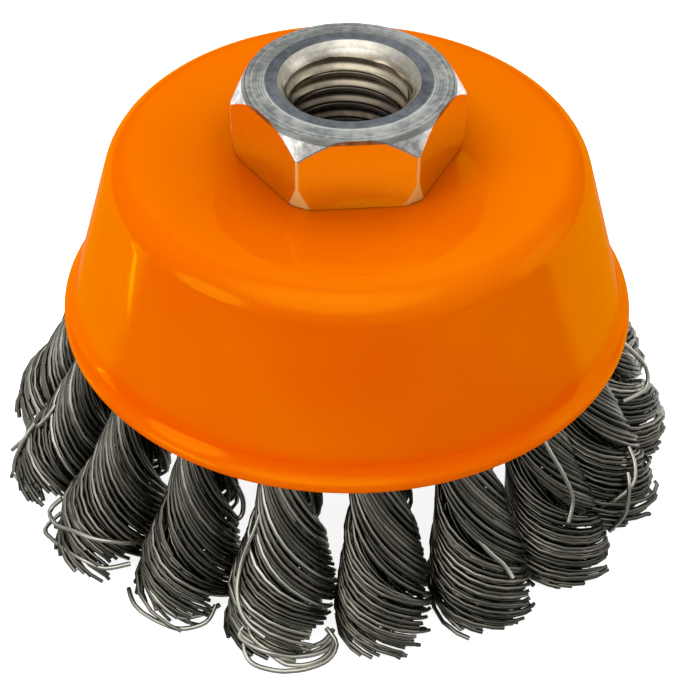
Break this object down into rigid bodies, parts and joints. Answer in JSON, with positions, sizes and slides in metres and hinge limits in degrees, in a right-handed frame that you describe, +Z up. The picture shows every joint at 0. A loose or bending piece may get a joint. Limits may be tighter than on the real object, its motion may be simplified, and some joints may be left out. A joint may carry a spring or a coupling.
{
  "type": "wire cup brush",
  "caption": "Twist-knot wire cup brush: a flared painted steel cup with a threaded hexagon nut on top and a ring of twisted steel wire knots below.",
  "frame": {"origin": "on the brush's axis, on the surface that the knot tips stand on", "axes": "+Z up along the brush's axis, from the knot tips to the nut's face; the picture looks along +Y, from above"},
  "size_m": [0.0742, 0.0732, 0.0485],
  "materials": {
    "cup_enamel": "gloss enamel",
    "plated_steel": "bright zinc plate",
    "plate_steel": "plain pressed steel",
    "steel_wire": "drawn steel wire"
  },
  "bodies": {
    "root": {"cup": "cup_enamel", "hex_nut": "plated_steel", "knot_plate": "plate_steel", "knot_01": "steel_wire", "knot_02": "steel_wire", "knot_03": "steel_wire", "knot_04": "steel_wire", "knot_05": "steel_wire", "knot_06": "steel_wire", "knot_07": "steel_wire", "knot_08": "steel_wire", "knot_09": "steel_wire", "knot_10": "steel_wire", "knot_11": "steel_wire", "knot_12": "steel_wire", "knot_13": "steel_wire", "knot_14": "steel_wire", "knot_15": "steel_wire", "knot_16": "steel_wire", "knot_17": "steel_wire", "knot_18": "steel_wire"}
  },
  "joints": []
}
